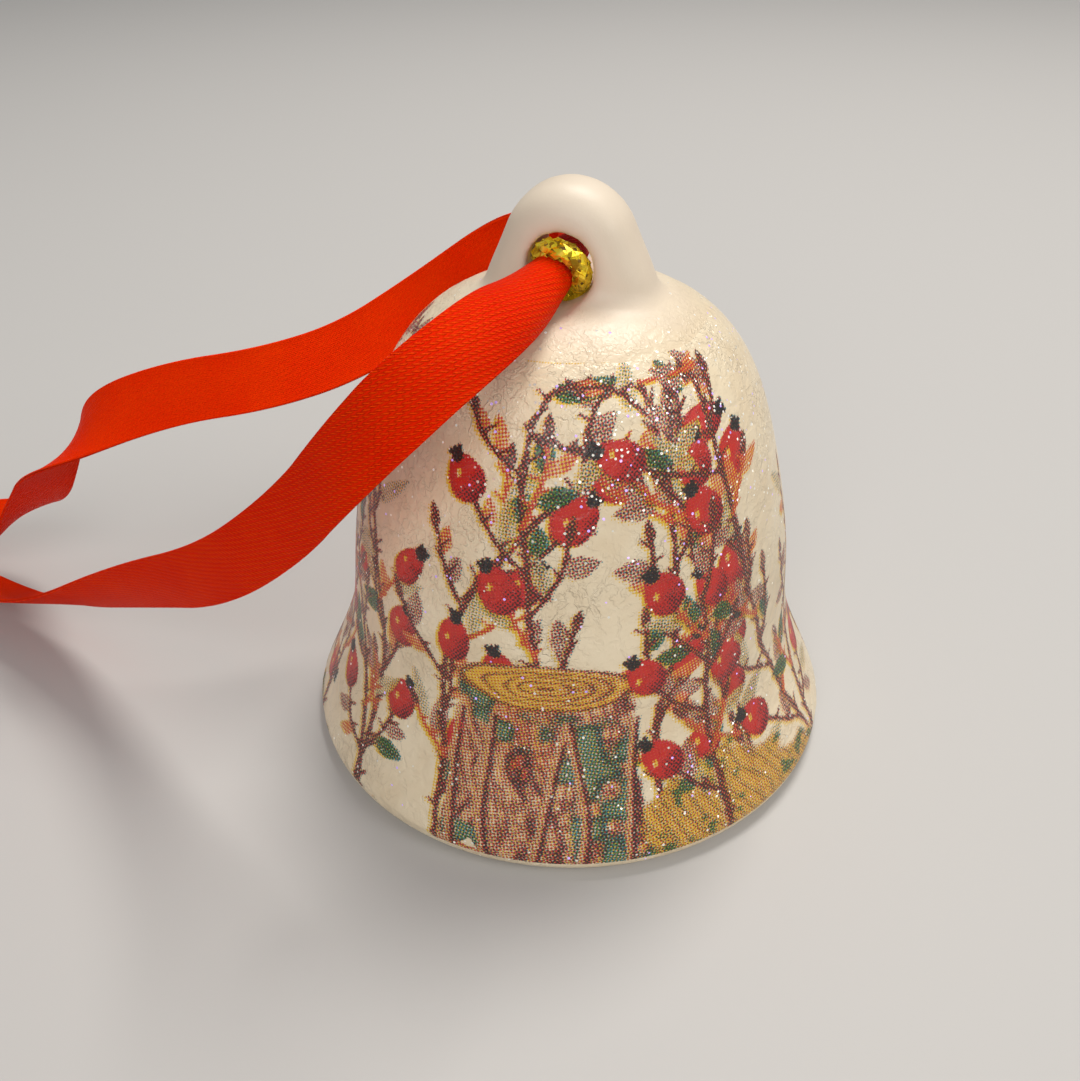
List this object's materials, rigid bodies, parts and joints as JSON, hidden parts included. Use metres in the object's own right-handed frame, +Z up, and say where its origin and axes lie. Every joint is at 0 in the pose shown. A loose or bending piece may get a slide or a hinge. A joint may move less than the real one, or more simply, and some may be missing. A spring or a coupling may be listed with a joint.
{
  "type": "christmas bell ornament",
  "caption": "Small ceramic Christmas bell with a pierced handle, a decoupage print of rose hips, a red hanging ribbon and a beaded clapper on a gold cord.",
  "frame": {"origin": "centre of the rim on the surface that the bell stands on", "axes": "+Z up through the handle, Y along the hole of the handle, the ribbon loop lies towards -X"},
  "size_m": [0.1434, 0.0604, 0.0616],
  "materials": {
    "ceramic": "matte cream bisque under a thin varnish",
    "printed_paper": "printed napkin paper under crackle varnish with glitter",
    "gold_cord": "metallic gold lame cord",
    "bead": "cream glazed bead",
    "ribbon": "red woven satin ribbon"
  },
  "bodies": {
    "bell": {"bell_body": "ceramic", "decoupage_paper": "printed_paper", "clapper_cord_loop": "gold_cord", "hanger_ribbon": "ribbon", "ribbon_knot": "ribbon"},
    "stop_knot": {"cord_stop_knot": "gold_cord"},
    "clapper": {"clapper_cord": "gold_cord", "cord_end_knot": "gold_cord"},
    "bead": {"clapper_bead": "bead"}
  },
  "joints": [
    {"name": "clapper_turn", "type": "hinge", "parent": "bell", "child": "stop_knot", "pos_m": [0, 0, 0.0427], "axis": [0, 0, 1], "continuous": true},
    {"name": "clapper_swing", "type": "hinge", "parent": "stop_knot", "child": "clapper", "pos_m": [0, 0, 0.0427], "axis": [0, 1, 0], "range_deg": [-32, 32]},
    {"name": "bead_spin", "type": "hinge", "parent": "clapper", "child": "bead", "pos_m": [0, 0, 0.0139], "axis": [0, 0, 1], "continuous": true}
  ]
}
